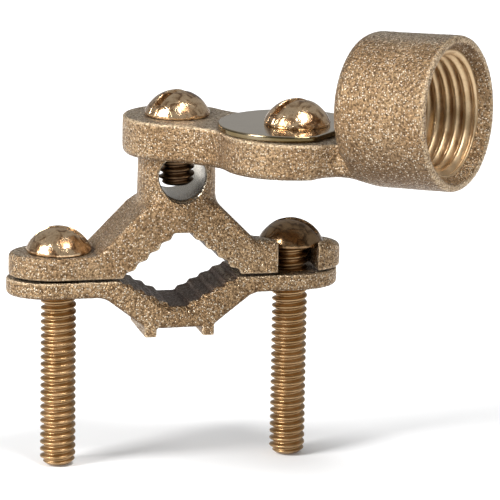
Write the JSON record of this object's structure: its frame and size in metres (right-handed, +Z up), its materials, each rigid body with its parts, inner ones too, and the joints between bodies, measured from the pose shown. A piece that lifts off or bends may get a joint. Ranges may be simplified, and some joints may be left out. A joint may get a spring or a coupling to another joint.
{
  "type": "ground clamp",
  "caption": "Cast bronze pipe ground clamp: toothed V jaws drawn together by slotted screws, with a swivelling arm that carries a threaded conduit hub.",
  "frame": {"origin": "midway between the two clamp screw axes, at half the jaws' depth, on the parting plane of the closed jaws", "axes": "+X across the jaws towards the open-slotted ear, +Y along the gripped pipe away from the slot's open side, +Z up through the wire boss"},
  "size_m": [0.0781, 0.0561, 0.0806],
  "materials": {
    "cast_bronze": "sand-cast, fine pebbled grain, satin",
    "screw_bronze": "machined and tumbled, semi-gloss",
    "polished_brass": "polished flat"
  },
  "bodies": {
    "upper_jaw": {"upper_jaw": "cast_bronze"},
    "lower_jaw": {"lower_jaw": "cast_bronze"},
    "left_clamp_screw": {"left_clamp_screw": "screw_bronze"},
    "right_clamp_screw": {"right_clamp_screw": "screw_bronze"},
    "hub_arm": {"hub_arm": "cast_bronze"},
    "wire_set_screw": {"wire_set_screw": "screw_bronze"},
    "pressure_plate": {"pressure_plate": "polished_brass"},
    "plate_screw": {"plate_screw": "screw_bronze"}
  },
  "joints": [
    {"name": "left_screw_turn", "type": "hinge", "parent": "upper_jaw", "child": "left_clamp_screw", "pos_m": [-0.02065, 0, 0.0042], "axis": [0, 0, 1], "range_deg": [0, 6840]},
    {"name": "right_screw_turn", "type": "hinge", "parent": "upper_jaw", "child": "right_clamp_screw", "pos_m": [0.02065, 0, 0.0042], "axis": [0, 0, 1], "range_deg": [0, 6840]},
    {"name": "lower_jaw_slide", "type": "slide", "parent": "upper_jaw", "child": "lower_jaw", "axis": [0, 0, -1], "range_m": [0, 0.0241]},
    {"name": "arm_swivel", "type": "hinge", "parent": "upper_jaw", "child": "hub_arm", "pos_m": [0, 0, 0.0209], "axis": [0, 0, 1], "continuous": true},
    {"name": "wire_screw_rise", "type": "slide", "parent": "upper_jaw", "child": "wire_set_screw", "axis": [0, 0, 1], "range_m": [0, 0.0065]},
    {"name": "plate_screw_rise", "type": "slide", "parent": "hub_arm", "child": "plate_screw", "axis": [0, 0, 1], "range_m": [0, 0.004]},
    {"name": "plate_rise", "type": "slide", "parent": "hub_arm", "child": "pressure_plate", "axis": [0, 0, 1], "range_m": [0, 0.004]}
  ],
  "couplings": [
    {"joint": "left_screw_turn", "follows": "lower_jaw_slide", "rad_per_m": 4947.4},
    {"joint": "right_screw_turn", "follows": "lower_jaw_slide", "rad_per_m": 4947.4},
    {"joint": "plate_rise", "follows": "plate_screw_rise", "ratio": 1}
  ]
}
